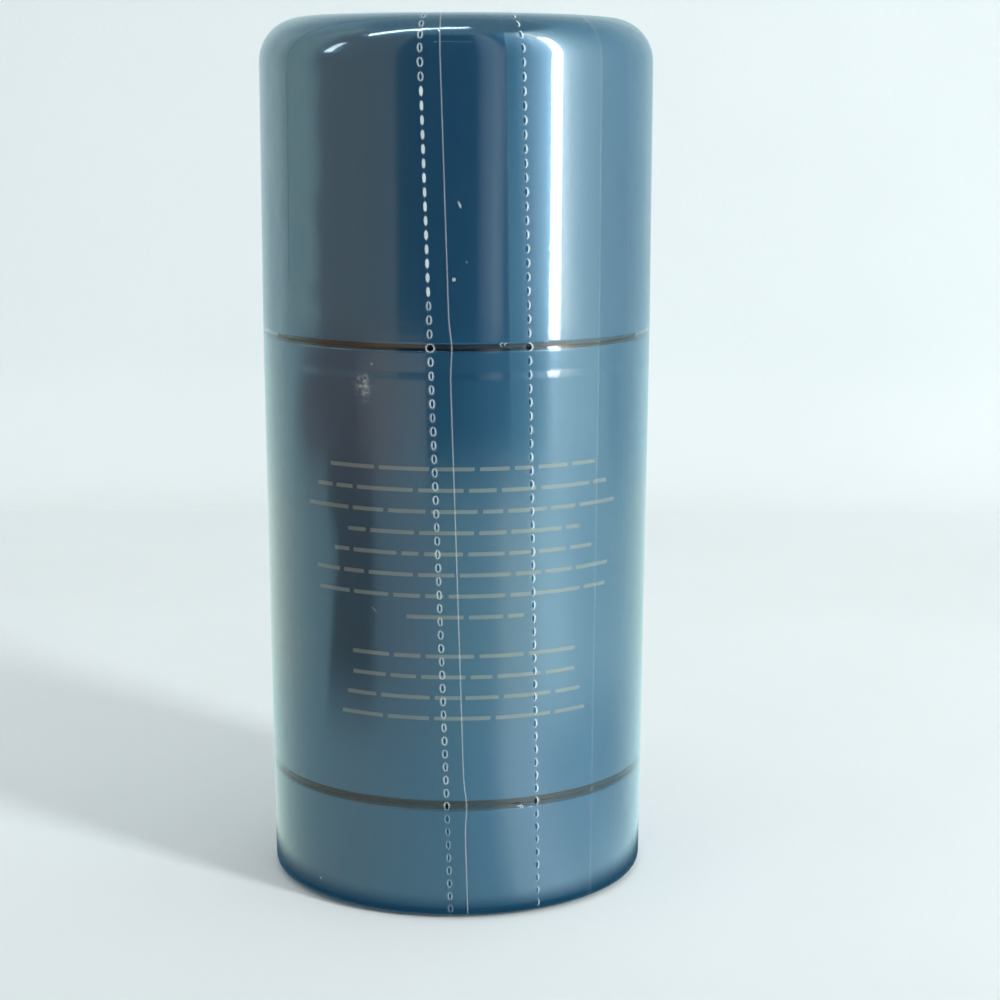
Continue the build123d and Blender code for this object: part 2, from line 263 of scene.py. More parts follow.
def sleeve_path(along, sleeve):
    """Radius, height and outward direction of the sleeve at distances up its side.

    The distance is the height on the straight wall, and runs on round the shoulder and the
    flat top, and back round the heel and under the base.
    """
    head = TOTAL_HEIGHT - sleeve.shoulder
    foot = TUCK_HEIGHT + sleeve.heel
    over = np.clip((along - head) / sleeve.shoulder, 0, QUARTER_TURN)
    under = np.clip((foot - along) / sleeve.heel, 0, QUARTER_TURN)
    past_top = np.clip(along - head - sleeve.shoulder * QUARTER_TURN, 0, None)
    past_foot = np.clip(foot - along - sleeve.heel * QUARTER_TURN, 0, None)
    wall = np.minimum(CAP_RADIUS, BASE_RADIUS + DRAFT * np.clip(along, foot, head))
    radius = wall - sleeve.shoulder * (1 - np.cos(over)) - past_top
    radius = radius - sleeve.heel * (1 - np.cos(under)) - past_foot
    height = np.clip(along, foot, head)
    height = height + sleeve.shoulder * np.sin(over) - sleeve.heel * np.sin(under)
    return radius, height, np.cos(over) * np.cos(under), np.sin(over) - np.sin(under)


def bump(distance, width):
    """A smooth hump of height one."""
    return np.exp(-((distance / width) ** 2))


class Marks:
    """The lines that lean up the film: two seams of slits, creases and a crackled patch.

    Angles are in degrees from the front, at the top and at the floor. Gaps are the distances
    in millimetres from a mark's line to the mesh columns on each side of it.
    """

    CREASE = (-3.6, 4.1, (0, 0.07, 0.15, 0.35, 0.8))
    FAINT = (14.3, 18.6, (0, 0.12, 0.3))
    FOLD = (45.1, 45.0, (0, 0.2, 0.45, 0.8))
    CRACKLE = (-26.0, -25.0, tuple(step * 0.22 for step in range(6)))
    SEAM_GAPS = (0, 0.08, 0.17, 0.28, 0.45, 0.9)

    @staticmethod
    def line(mark, along):
        """Angle of a mark's line at distances up the sleeve; the crease's line has a kink at each
        groove.
        """
        top, foot = mark[0], mark[1]
        share = np.clip(along / TOTAL_HEIGHT, 0, 1)
        kink = bump(along - CAP_LINE, 2.2 * MM) + bump(along - DIAL_LINE, 2.2 * MM)
        if mark is not Marks.CREASE:
            kink = 0
        return np.radians(foot + (top - foot) * share + 0.6 * kink)


def slit_phase(along, sleeve):
    """Number of the nearest slit, and the place in its pitch, which is 0.5 at its middle."""
    turns = (along - CAP_LINE) / sleeve.slit_pitch + 0.5
    number = np.floor(turns)
    return number.astype(int), turns - number


def slit_opening(along, sleeve, widths):
    """Half the width of a seam's slit at distances up the sleeve."""
    number, phase = slit_phase(along, sleeve)
    bow = np.sqrt(np.clip(1 - ((phase - 0.5) / 0.27) ** 2, 0.015, 1))
    return bow * widths[number % len(widths)]


def seam_ends(sleeve):
    """Angles of the two seams at the top and at the floor, in degrees."""
    return (
        (math.degrees(sleeve.seam_left_top), math.degrees(sleeve.seam_left_foot)),
        (math.degrees(sleeve.seam_right_top), math.degrees(sleeve.seam_right_foot)),
    )


def column_turns(along, sleeve, widths):
    """Angle of each mesh column at each row, with the columns of both seams' slit edges."""
    count = len(along)
    groups = []
    for seam, half_widths in zip(seam_ends(sleeve), widths):
        opening = slit_opening(along, sleeve, half_widths)
        gaps = np.array(Marks.SEAM_GAPS) * MM
        reach = opening[:, None] + gaps[None, :]
        groups.append(("seam", Marks.line(seam, along), np.hstack([-reach[:, ::-1], reach])))
    for mark in (Marks.CREASE, Marks.FAINT, Marks.FOLD, Marks.CRACKLE):
        gaps = np.array(mark[2]) * MM
        reach = np.concatenate([-gaps[:0:-1], gaps])
        groups.append(("crease", Marks.line(mark, along), np.tile(reach, (count, 1))))
    groups.sort(key=lambda group: group[1][0])
    turns, seam_columns, place = [], [], 0
    for number, (kind, line, reach) in enumerate(groups):
        own = line[:, None] + reach / CAP_RADIUS
        turns.append(own)
        if kind == "seam":
            seam_columns.append(place + reach.shape[1] // 2 - 1)
        place += own.shape[1]
        following = groups[(number + 1) % len(groups)]
        start = own[:, -1]
        end = following[1] + following[2][:, 0] / CAP_RADIUS
        if number == len(groups) - 1:
            end = end + 2 * HALF_TURN
        steps = max(1, round(float((end - start).mean()) * CAP_RADIUS / sleeve.column_gap))
        share = np.arange(1, steps) / steps
        turns.append(start[:, None] + (end - start)[:, None] * share[None, :])
        place += steps - 1
    return np.hstack(turns), seam_columns


def film_relief(along, turn, sleeve, random):
    """How far the film stands out from its smooth form, and how hazy its creases are."""
    rows = along[:, None]
    relief = 0.010 * np.sin(5 * turn + rows / MM * 0.05 + 0.6)
    relief += 0.004 * np.sin(11 * turn - rows / MM * 0.09 + 2.1)
    relief *= MM
    haze_and_sheen = np.zeros_like(turn)

    def apart(mark):
        return (turn - Marks.line(mark, along)[:, None]) * CAP_RADIUS

    crease = bump(apart(Marks.CREASE), 0.075 * MM)
    relief += sleeve.crease_rise * crease
    haze_and_sheen += 0.22 * crease
    high = 1 / (1 + np.exp(-(rows - 60 * MM) / (2 * MM)))
    relief += 0.012 * MM * bump(apart(Marks.FAINT), 0.13 * MM) * high
    haze_and_sheen += 0.05 * bump(apart(Marks.FAINT), 0.13 * MM) * high
    fold = bump(apart(Marks.FOLD), 0.2 * MM)
    relief += sleeve.fold_rise * fold
    haze_and_sheen += 0.08 * fold
    # the ridge under the cap: a flank that faces up, and a long return below it
    flank = 1.1 * MM
    above = np.clip(1 - (rows - sleeve.ridge_height) / flank, 0, 1)
    below = np.clip(1 - (sleeve.ridge_height - rows) / (3 * flank), 0, 1)
    relief += sleeve.ridge_rise * np.where(rows > sleeve.ridge_height, above, below)
    for line in (CAP_LINE, DIAL_LINE):  # the film draws in a little where it spans a groove
        relief -= 0.016 * MM * np.clip(1 - ((rows - line) / (0.45 * MM)) ** 2, 0, 1)
    patch = bump(apart(Marks.CRACKLE), 1.0 * MM) * bump(rows - 64 * MM, 2.0 * MM)
    relief += 0.05 * MM * patch * random.uniform(-1, 0.6, turn.shape)
    haze_and_sheen += 0.25 * patch * random.uniform(0, 1, turn.shape)
    flat_start = TOTAL_HEIGHT - sleeve.shoulder + sleeve.shoulder * QUARTER_TURN
    crimped = np.clip((rows - flat_start) / (2 * MM), 0, 1)
    relief -= 0.05 * MM * crimped * (0.6 + 0.4 * np.sin(36 * turn + 1.5 * np.sin(5 * turn)))
    return relief, haze_and_sheen


def healed(side, number, sleeve):
    """Whether a slit has stayed closed, a pale scar: those down the left of the cap's wall."""
    lowest, highest = 74 * MM, 98.5 * MM
    middle = CAP_LINE + number * sleeve.slit_pitch
    return (side == 0) & (middle > lowest) & (middle < highest)


def sleeve_length(name, start, end, body, node, material, seed):
    """One closed length of the sleeve, with its slits, creases, and ends made pale by a painted
    highlight.
    """
    sleeve = bpy.context.scene.stick_sleeve
    random = np.random.default_rng(seed)
    rows_a_slit = 8
    step = sleeve.slit_pitch / rows_a_slit
    first = math.ceil((start - CAP_LINE) / step)
    last = math.floor((end - CAP_LINE) / step)
    along = CAP_LINE + np.arange(first, last + 1) * step
    clear = 0.06 * MM  # no row lies closer than this to an end
    inner = along[(along > start + clear) & (along < end - clear)]
    along = np.concatenate([[start], inner, [end]])

    slit_count = 97  # more than there are slits, so that no two share a width
    dial_slit = round((DIAL_LINE - CAP_LINE) / sleeve.slit_pitch) % slit_count
    widths = []
    for _ in range(2):
        wide = sleeve.slit_width * random.uniform(0.7, 1.15, slit_count)
        wide[0] = sleeve.groove_slit
        wide[dial_slit] = sleeve.groove_slit * 0.5
        widths.append(wide)
    turn, seam_columns = column_turns(along, sleeve, widths)
    relief, haze_and_sheen = film_relief(along, turn, sleeve, random)

    # the cells between the two middle columns of a seam are left out where a slit is open
    half_slit, scar_reach = 0.25, 0.21 * MM
    number, phase = slit_phase((along[:-1] + along[1:]) / 2, sleeve)
    keep = np.ones((len(along) - 1, turn.shape[1]), bool)
    on_slit = np.abs(phase - 0.5) < half_slit
    for side, column in enumerate(seam_columns):
        keep[on_slit & ~healed(side, number, sleeve), column] = False
    # each slit has a pale rim of whitened film: all round on the left, and a half moon on the right,
    # whose right side is also a painted highlight
    number, phase = slit_phase(along, sleeve)
    for side, seam in enumerate(seam_ends(sleeve)):
        lag = ((phase - 0.5) / (0.36, 0.31)[side])[:, None]
        across = (turn - Marks.line(seam, along)[:, None]) * CAP_RADIUS
        whole = healed(side, number, sleeve)[:, None]
        rim = widths[side][number % slit_count][:, None] + sleeve.slit_rim
        reach = np.where(whole, scar_reach, rim)
        ring = np.hypot(across / reach, lag)
        gleam = random.uniform(0.75, 1.0, slit_count)[number % slit_count][:, None]
        # the pale rims are made fainter below the dial line
        fainter_on_dial = np.where(along < DIAL_LINE, 0.55, 1)[:, None]
        pale = np.clip((1.1 - ring) / 0.22, 0, 1) * gleam * fainter_on_dial
        lip = bump(ring - 0.85, 0.26)
        if side == 0:
            relief += np.where(whole, 0.004, 0.012) * MM * lip
            haze_and_sheen += np.where(whole, 0.52, 0.30) * pale
        else:
            right_side = 1 / (1 + np.exp(-across / (0.05 * MM)))
            relief += (0.014 * right_side - 0.004) * MM * lip
            # painted highlight: the right side of each rim on the right seam is made much paler, as
            # that lip catches the light
            haze_and_sheen += (0.06 + 0.54 * right_side) * pale
    # painted highlight: the first and last rows, the ends of the length, are made paler, standing
    # for the highlight where the film bends over an edge
    haze_and_sheen[0] += 0.05
    haze_and_sheen[-1] += 0.05

    radius, height, out, up = (value[:, None] for value in sleeve_path(along, sleeve))
    past = np.clip(CAP_RADIUS - sleeve.shoulder - radius, 0, None)
    top_side = height > TOTAL_HEIGHT / 2
    radius = radius - np.where(top_side, past, 0) * (
        0.14 * np.sin(3 * turn + 1.0) + 0.07 * np.sin(8 * turn)
    )
    front = np.minimum(relief - sleeve.inset, -0.004 * MM)
    back = front - sleeve.thickness
    points = np.concatenate(
        [
            round_points(radius + depth * out, height + depth * up, turn).reshape(-1, 3)
            for depth in (front, back)
        ]
    )
    faces = closed_sheet(keep, wraps=True)
    pale = np.tile(np.clip(haze_and_sheen, 0, 1).reshape(-1), 2)
    points, faces, pale = drop_unused(points, faces, pale)
    piece = new_piece(name, points.tolist(), faces.tolist(), material, body)
    piece.data.attributes.new("haze_and_sheen", "FLOAT", "POINT").data.foreach_set(
        "value", pale.astype(np.float32)
    )
    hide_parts(node)
    return piece


# ---- shader nodes ---------------------------------------------------------------------------
class Nodes:
    """Short calls that add nodes to a tree and link them."""

    def __init__(self, tree):
        self.tree = tree

    def add(self, kind, inputs=None, **settings):
        node = self.tree.nodes.new(kind)
        for key, value in settings.items():
            setattr(node, key, value)
        for key, value in (inputs or {}).items():
            if isinstance(value, bpy.types.NodeSocket):
                self.tree.links.new(value, node.inputs[key])
            else:
                node.inputs[key].default_value = value
        return node

    def math(self, operation, *values, clamp=False):
        inputs = dict(enumerate(values))
        return self.add("ShaderNodeMath", inputs, operation=operation, use_clamp=clamp).outputs[0]

    def smooth(self, value, low, high):
        """0 below low and 1 above high, with a soft step between."""
        node = self.add(
            "ShaderNodeMapRange",
            {"Value": value, "From Min": low, "From Max": high},
            interpolation_type="SMOOTHSTEP",
        )
        return node.outputs["Result"]

    def mix(self, share, one, other, blend="MIX"):
        node = self.add("ShaderNodeMix", data_type="RGBA", blend_type=blend)
        for key, value in ((0, share), (6, one), (7, other)):
            if isinstance(value, bpy.types.NodeSocket):
                self.tree.links.new(value, node.inputs[key])
            elif key:
                node.inputs[key].default_value = (*value[:3], 1)
            else:
                node.inputs[key].default_value = value
        return node.outputs[2]

    def ramp(self, share, stops):
        """A colour ramp from (place, colour) stops."""
        node = self.add("ShaderNodeValToRGB", {"Fac": share})
        elements = node.color_ramp.elements
        while len(elements) < len(stops):
            elements.new(0.5)
        for element, (place, value) in zip(elements, stops):
            element.position = place
        for element, (place, value) in zip(elements, stops):
            element.color = (*value, 1)
        return node.outputs["Color"]


def new_group(name, inputs, outputs):
    """An empty shader node group with named number, vector or colour sockets."""
    tree = bpy.data.node_groups.new(name, "ShaderNodeTree")
    for direction, sockets in (("INPUT", inputs), ("OUTPUT", outputs)):
        for socket_name, kind in sockets:
            kind = f"NodeSocket{kind}"
            tree.interface.new_socket(socket_name, in_out=direction, socket_type=kind)
    nodes = Nodes(tree)
    return tree, nodes, nodes.add("NodeGroupInput"), nodes.add("NodeGroupOutput")


def specks_group():
    """Dust: a few round specks scattered over the surface."""
    if "dust_specks" in bpy.data.node_groups:
        return bpy.data.node_groups["dust_specks"]
    tree, nodes, given, result = new_group(
        "dust_specks", [("Scale", "Float"), ("Amount", "Float")], [("Mask", "Float")]
    )
    place = nodes.add("ShaderNodeTexCoord").outputs["Object"]
    cells = nodes.add("ShaderNodeTexVoronoi", {"Vector": place, "Scale": given.outputs["Scale"]})
    picked = nodes.add("ShaderNodeSeparateColor", {"Color": cells.outputs["Color"]})
    size = nodes.math("MULTIPLY", picked.outputs["Green"], 0.10)
    spot = nodes.math("LESS_THAN", cells.outputs["Distance"], size)
    rare = nodes.math("LESS_THAN", picked.outputs["Red"], given.outputs["Amount"])
    nodes.tree.links.new(nodes.math("MULTIPLY", spot, rare), result.inputs["Mask"])
    return tree


def scuffs_group():
    """Scuffs: short hair-fine scratches, in patches."""
    if "hair_scuffs" in bpy.data.node_groups:
        return bpy.data.node_groups["hair_scuffs"]
    tree, nodes, given, result = new_group(
        "hair_scuffs",
        [("Scale", "Float"), ("Lean", "Float"), ("Amount", "Float")],
        [("Mask", "Float")],
    )
    place = nodes.add("ShaderNodeTexCoord").outputs["Object"]
    slant = given.outputs["Lean"]
    lean = nodes.add("ShaderNodeCombineXYZ", {"X": slant, "Y": slant})
    turned = nodes.add(
        "ShaderNodeVectorRotate",
        {"Vector": place, "Rotation": lean.outputs[0]},
        rotation_type="EULER_XYZ",
    )
    drawn = nodes.add(
        "ShaderNodeMapping", {"Vector": turned.outputs[0], "Scale": (1.0, 1.0, 0.07)}
    )
    cells = nodes.add(
        "ShaderNodeTexVoronoi", {"Vector": drawn.outputs[0], "Scale": given.outputs["Scale"]}
    )
    picked = nodes.add("ShaderNodeSeparateColor", {"Color": cells.outputs["Color"]})
    thin = nodes.math("LESS_THAN", cells.outputs["Distance"], 0.07)
    rare = nodes.math("LESS_THAN", picked.outputs["Blue"], given.outputs["Amount"])
    nodes.tree.links.new(nodes.math("MULTIPLY", thin, rare), result.inputs["Mask"])
    return tree


def skin_group():
    """Moulded skin: slow flow tones, and a fine grain as a height."""
    if "moulded_skin" in bpy.data.node_groups:
        return bpy.data.node_groups["moulded_skin"]
    tree, nodes, given, result = new_group(
        "moulded_skin",
        [("Flow Scale", "Float"), ("Grain Scale", "Float")],
        [("Tone", "Float"), ("Height", "Float")],
    )
    place = nodes.add("ShaderNodeTexCoord").outputs["Object"]
    drawn = nodes.add("ShaderNodeMapping", {"Vector": place, "Scale": (1.0, 1.0, 0.35)})
    flow = nodes.add(
        "ShaderNodeTexNoise",
        {
            "Vector": drawn.outputs[0],
            "Scale": given.outputs["Flow Scale"],
            "Detail": 4.0,
            "Distortion": 0.6,
        },
    )
    grain = nodes.add(
        "ShaderNodeTexNoise",
        {"Vector": place, "Scale": given.outputs["Grain Scale"], "Detail": 3.0},
    )
    tone = nodes.smooth(flow.outputs["Fac"], 0.3, 0.7)
    nodes.tree.links.new(tone, result.inputs["Tone"])
    nodes.tree.links.new(grain.outputs["Fac"], result.inputs["Height"])
    return tree


def new_material(name):
    """A material with only its output, and short calls for its nodes."""
    material = bpy.data.materials.new(name)
    material.use_nodes = True
    material.node_tree.nodes.clear()
    nodes = Nodes(material.node_tree)
    return material, nodes, nodes.add("ShaderNodeOutputMaterial")


def moulded_plastic(name, deep, light, roughness, grain, bump_strength, dust, shader_values):
    """A moulded plastic: flow tones, fine grain, a little dust and a few scuffs."""
    material, nodes, output = new_material(name)
    skin = nodes.add("ShaderNodeGroup", node_tree=skin_group())
    skin.inputs["Flow Scale"].default_value = 60
    skin.inputs["Grain Scale"].default_value = grain
    specks = nodes.add("ShaderNodeGroup", node_tree=specks_group())
    specks.inputs["Scale"].default_value = 900
    specks.inputs["Amount"].default_value = dust
    scuffs = nodes.add("ShaderNodeGroup", node_tree=scuffs_group())
    for key, value in (("Scale", 700), ("Lean", 0.6), ("Amount", 0.03)):
        scuffs.inputs[key].default_value = value
    tone = skin.outputs["Tone"]
    marks = nodes.math("MAXIMUM", specks.outputs["Mask"], scuffs.outputs["Mask"])
    base = nodes.mix(tone, deep, light)
    pale = tuple(min(1, 0.25 + channel) for channel in light)
    base = nodes.mix(nodes.math("MULTIPLY", marks, 0.3), base, pale)
    rough = nodes.math("MULTIPLY_ADD", tone, roughness * 0.25, roughness)
    rough = nodes.math("MULTIPLY_ADD", marks, 0.2, rough)
    relief = nodes.add(
        "ShaderNodeBump",
        {"Strength": bump_strength, "Distance": 0.02 * MM, "Height": skin.outputs["Height"]},
    )
    shader = nodes.add(
        "ShaderNodeBsdfPrincipled",
        {
            "Base Color": base,
            "Roughness": rough,
            "Normal": relief.outputs["Normal"],
            **shader_values,
        },
    )
    nodes.tree.links.new(shader.outputs[0], output.inputs["Surface"])
    return material


def film_material():
    """Clear shrink film: gloss over what lies behind it, a pale cast where it is torn or creased,
    and painted highlights at the slits' right lips and the ends of each length.
    """
    finish = bpy.context.scene.stick_finish
    material, nodes, output = new_material("shrink_film")
    facing = nodes.add("ShaderNodeLayerWeight", {"Blend": 0.5}).outputs["Facing"]
    gloss = nodes.math("MULTIPLY_ADD", nodes.math("POWER", facing, 5.0), 0.96, 0.04)
    # the pale marks read here are torn or creased film, and painted highlights at the slits' right
    # lips and the ends of each length
    torn = nodes.add("ShaderNodeAttribute", attribute_name="haze_and_sheen").outputs["Fac"]
    specks = nodes.add("ShaderNodeGroup", node_tree=specks_group())
    specks.inputs["Scale"].default_value = 420
    specks.inputs["Amount"].default_value = finish.dust * 0.2
    scuffs = nodes.add("ShaderNodeGroup", node_tree=scuffs_group())
    for key, value in (("Scale", 420), ("Lean", 0.35), ("Amount", 0.02)):
        scuffs.inputs[key].default_value = value
    skin = nodes.add("ShaderNodeGroup", node_tree=skin_group())
    skin.inputs["Flow Scale"].default_value = 110
    skin.inputs["Grain Scale"].default_value = 900
    marks = nodes.math("MAXIMUM", specks.outputs["Mask"], scuffs.outputs["Mask"])
    haze_and_sheen = nodes.math("MULTIPLY_ADD", marks, 0.22, torn, clamp=True)
    solid = nodes.math("MAXIMUM", gloss, haze_and_sheen)
    metallic = nodes.math("SUBTRACT", 1.0, nodes.math("MULTIPLY", haze_and_sheen, 4.0, clamp=True))
    rough = nodes.math("MULTIPLY_ADD", skin.outputs["Tone"], 0.03, finish.film_roughness)
    rough = nodes.math("MULTIPLY_ADD", haze_and_sheen, 0.35, rough)
    tint = nodes.mix(nodes.math("MULTIPLY", haze_and_sheen, 3.0, clamp=True), (1, 1, 1), finish.film)
    shader = nodes.add(
        "ShaderNodeBsdfPrincipled", {"Base Color": tint, "Roughness": rough, "Metallic": metallic}
    )
    clear = nodes.add("ShaderNodeBsdfTransparent")
    both = nodes.add("ShaderNodeMixShader", {0: solid, 1: clear.outputs[0], 2: shader.outputs[0]})
    nodes.tree.links.new(both.outputs[0], output.inputs["Surface"])
    return material


def dress(material, *names):
    """Gives CAD nodes their finish."""
    for name in names:
        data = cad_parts[name].data
        data.materials.clear()
        data.materials.append(material)


# ---- operators ------------------------------------------------------------------------------
class STICK_OT_blue_shells(bpy.types.Operator):
    """Give the cap, barrel and dial shells their glossy blue plastic"""

    bl_idname = "stick.blue_shells"
    bl_label = "Blue Shells"

    def execute(self, context):
        finish = context.scene.stick_finish
        values = {"Metallic": 0.5, "IOR": 1.5}
        plastic = moulded_plastic(
            "blue_plastic", finish.blue, finish.blue_light, 0.13, 2600, 0.05, 0.02, values
        )
        dress(plastic, "cap_shell", "barrel_shell", "dial_shell")
        return {"FINISHED"}


class STICK_OT_inner_parts(bpy.types.Operator):
    """Give the container, liner, hand wheel, screw and elevator their satin polypropylene"""

    bl_idname = "stick.inner_parts"
    bl_label = "Inner Parts"

    def execute(self, context):
        finish = context.scene.stick_finish
        shared = {"IOR": 1.49, "Subsurface Weight": 0.25, "Subsurface Scale": 2 * MM}
        white = moulded_plastic(
            "white_polypropylene",
            tuple(0.95 * channel for channel in finish.white),
            finish.white,
            0.32,
            1500,
            0.2,
            0.02,
            shared,
        )
        neck = moulded_plastic(
            "neck_polypropylene",
            tuple(0.8 * channel for channel in finish.neck),
            finish.neck,
            0.38,
            1500,
            0.25,
            0.02,
            {"IOR": 1.49},
        )
        dress(neck, "inner_barrel", "cap_liner", "hand_wheel")
        dress(white, "lift_screw", "elevator")
        return {"FINISHED"}


class STICK_OT_product(bpy.types.Operator):
    """Give the domed product its soft, clouded gel"""

    bl_idname = "stick.product"
    bl_label = "Product"

    def execute(self, context):
        finish = context.scene.stick_finish
        values = {"IOR": 1.45, "Subsurface Weight": 0.6, "Subsurface Scale": 3 * MM}
        cloud = tuple(0.9 * channel for channel in finish.gel)
        gel = moulded_plastic("clouded_gel", cloud, finish.gel, 0.24, 420, 0.5, 0.05, values)
        dress(gel, "deodorant_stick")
        return {"FINISHED"}


class STICK_OT_sleeve(bpy.types.Operator):
    """Build the shrink sleeve's three lengths, with slits, creases and torn bits"""

    bl_idname = "stick.sleeve"
    bl_label = "Shrink Sleeve"

    def execute(self, context):
        sleeve = context.scene.stick_sleeve
        film = film_material()
        gap = sleeve.parting / 2
        hem = TOTAL_HEIGHT - sleeve.shoulder + sleeve.shoulder * QUARTER_TURN
        hem += CAP_RADIUS - sleeve.shoulder - sleeve.hem_radius
        tuck = TUCK_HEIGHT + sleeve.heel - sleeve.heel * QUARTER_TURN
        tuck -= BASE_RADIUS - sleeve.heel - sleeve.tuck_radius
        sleeve_length("sleeve_cap", CAP_LINE + gap, hem, "cap", "cap_film", film, 11)
        sleeve_length(
            "sleeve_barrel", DIAL_LINE + gap, CAP_LINE - gap, "barrel", "barrel_film", film, 12
        )
        sleeve_length("sleeve_dial", tuck, DIAL_LINE - gap, "dial", "dial_film", film, 13)
        self.shreds("film_shreds_cap", film, "cap", CAP_LINE + 0.35 * MM, (13.6, 14.7, 26.5), 21)
        self.shreds("film_shreds_dial", film, "dial", DIAL_LINE - 0.3 * MM, (18.6, 19.5), 22)
        return {"FINISHED"}

    def shreds(self, name, film, body, height, angles, seed):
        """Small torn curls of film that stand on a groove's edge."""
        random = np.random.default_rng(seed)
        points, faces = [], []
        steps = 9
        for degrees in angles:
            curl = random.uniform(0.16, 0.26) * MM
            width = random.uniform(0.12, 0.2) * MM
            sweep = random.uniform(3.2, 4.4)
            spin = random.uniform(-0.9, 0.9)
            turn = math.radians(degrees)
            centre = Vector(round_points(CAP_RADIUS - 0.05 * MM, height, turn).tolist())
            stand = Matrix.Rotation(turn, 4, "Z") @ Matrix.Rotation(spin, 4, "Y")
            bend = np.linspace(0, sweep, steps)
            taper = 1 - 0.7 * np.abs(np.linspace(-1, 1, steps)) ** 3
            for depth in (curl, curl - 0.03 * MM):
                for side in (-1, 1):
                    for lean, share in zip(bend, taper):
                        out, up = depth * math.cos(lean), depth * math.sin(lean)
                        points.append(centre + stand @ Vector((out, side * width * share, up)))
            faces.extend(rail_faces(len(points) - 4 * steps, steps))
        piece = new_piece(name, points, faces, film, body)
        haze_and_sheen = piece.data.attributes.new("haze_and_sheen", "FLOAT", "POINT")
        haze_and_sheen.data.foreach_set("value", np.full(len(points), 0.6, np.float32))
        return piece


class STICK_OT_print(bpy.types.Operator):
    """Print plain broken bars on the barrel, two blocks of centred lines"""

    bl_idname = "stick.print_lines"
    bl_label = "Print"

    def execute(self, context):
        layout = context.scene.stick_print
        finish = context.scene.stick_finish
        ink = moulded_plastic(
            "pale_ink",
            tuple(0.85 * channel for channel in finish.ink),
            finish.ink,
            0.45,
            3000,
            0.3,
            0.02,
            {"IOR": 1.5},
        )
        random = np.random.default_rng(5)
        blocks = (
            (layout.first_line, (41, 46, 50, 35, 40, 47, 46, 17)),
            (layout.second_block, (34, 34, 36, 38)),
        )
        points, faces = [], []
        for top, half_widths in blocks:
            for line, half in enumerate(half_widths):
                middle = top - line * layout.line_pitch
                for start, end in self.words(-half, half, random):
                    self.bar(points, faces, middle, start, end, layout)
        new_piece("printed_lines", points, faces, ink, "barrel")
        return {"FINISHED"}

    @staticmethod
    def words(start, end, random):
        """Breaks a line, in degrees, into bars as long as words, with small gaps."""
        gap = 1.5
        found = []
        while start < end:
            stop = min(end, start + random.uniform(5, 17))
            if end - stop < 3:
                stop = end
            found.append((start, stop))
            start = stop + gap
        return found

    @staticmethod
    def bar(points, faces, middle, start, end, layout):
        """One bar, bent round the barrel and sunk a little into its shell."""
        count = max(2, round((end - start) / 1.5))
        turns = np.radians(np.linspace(start, end, count + 1)) + layout.centre
        shell = BASE_RADIUS + DRAFT * middle - SHELL_GAP
        columns = []
        for depth in (0.012 * MM, -0.02 * MM):
            for side in (-0.5, 0.5):
                height = middle + side * layout.bar_height
                columns.append(round_points(shell + depth, height, turns))
        first = len(points)
        for column in columns:
            points.extend(column.tolist())
        faces.extend(rail_faces(first, count + 1))


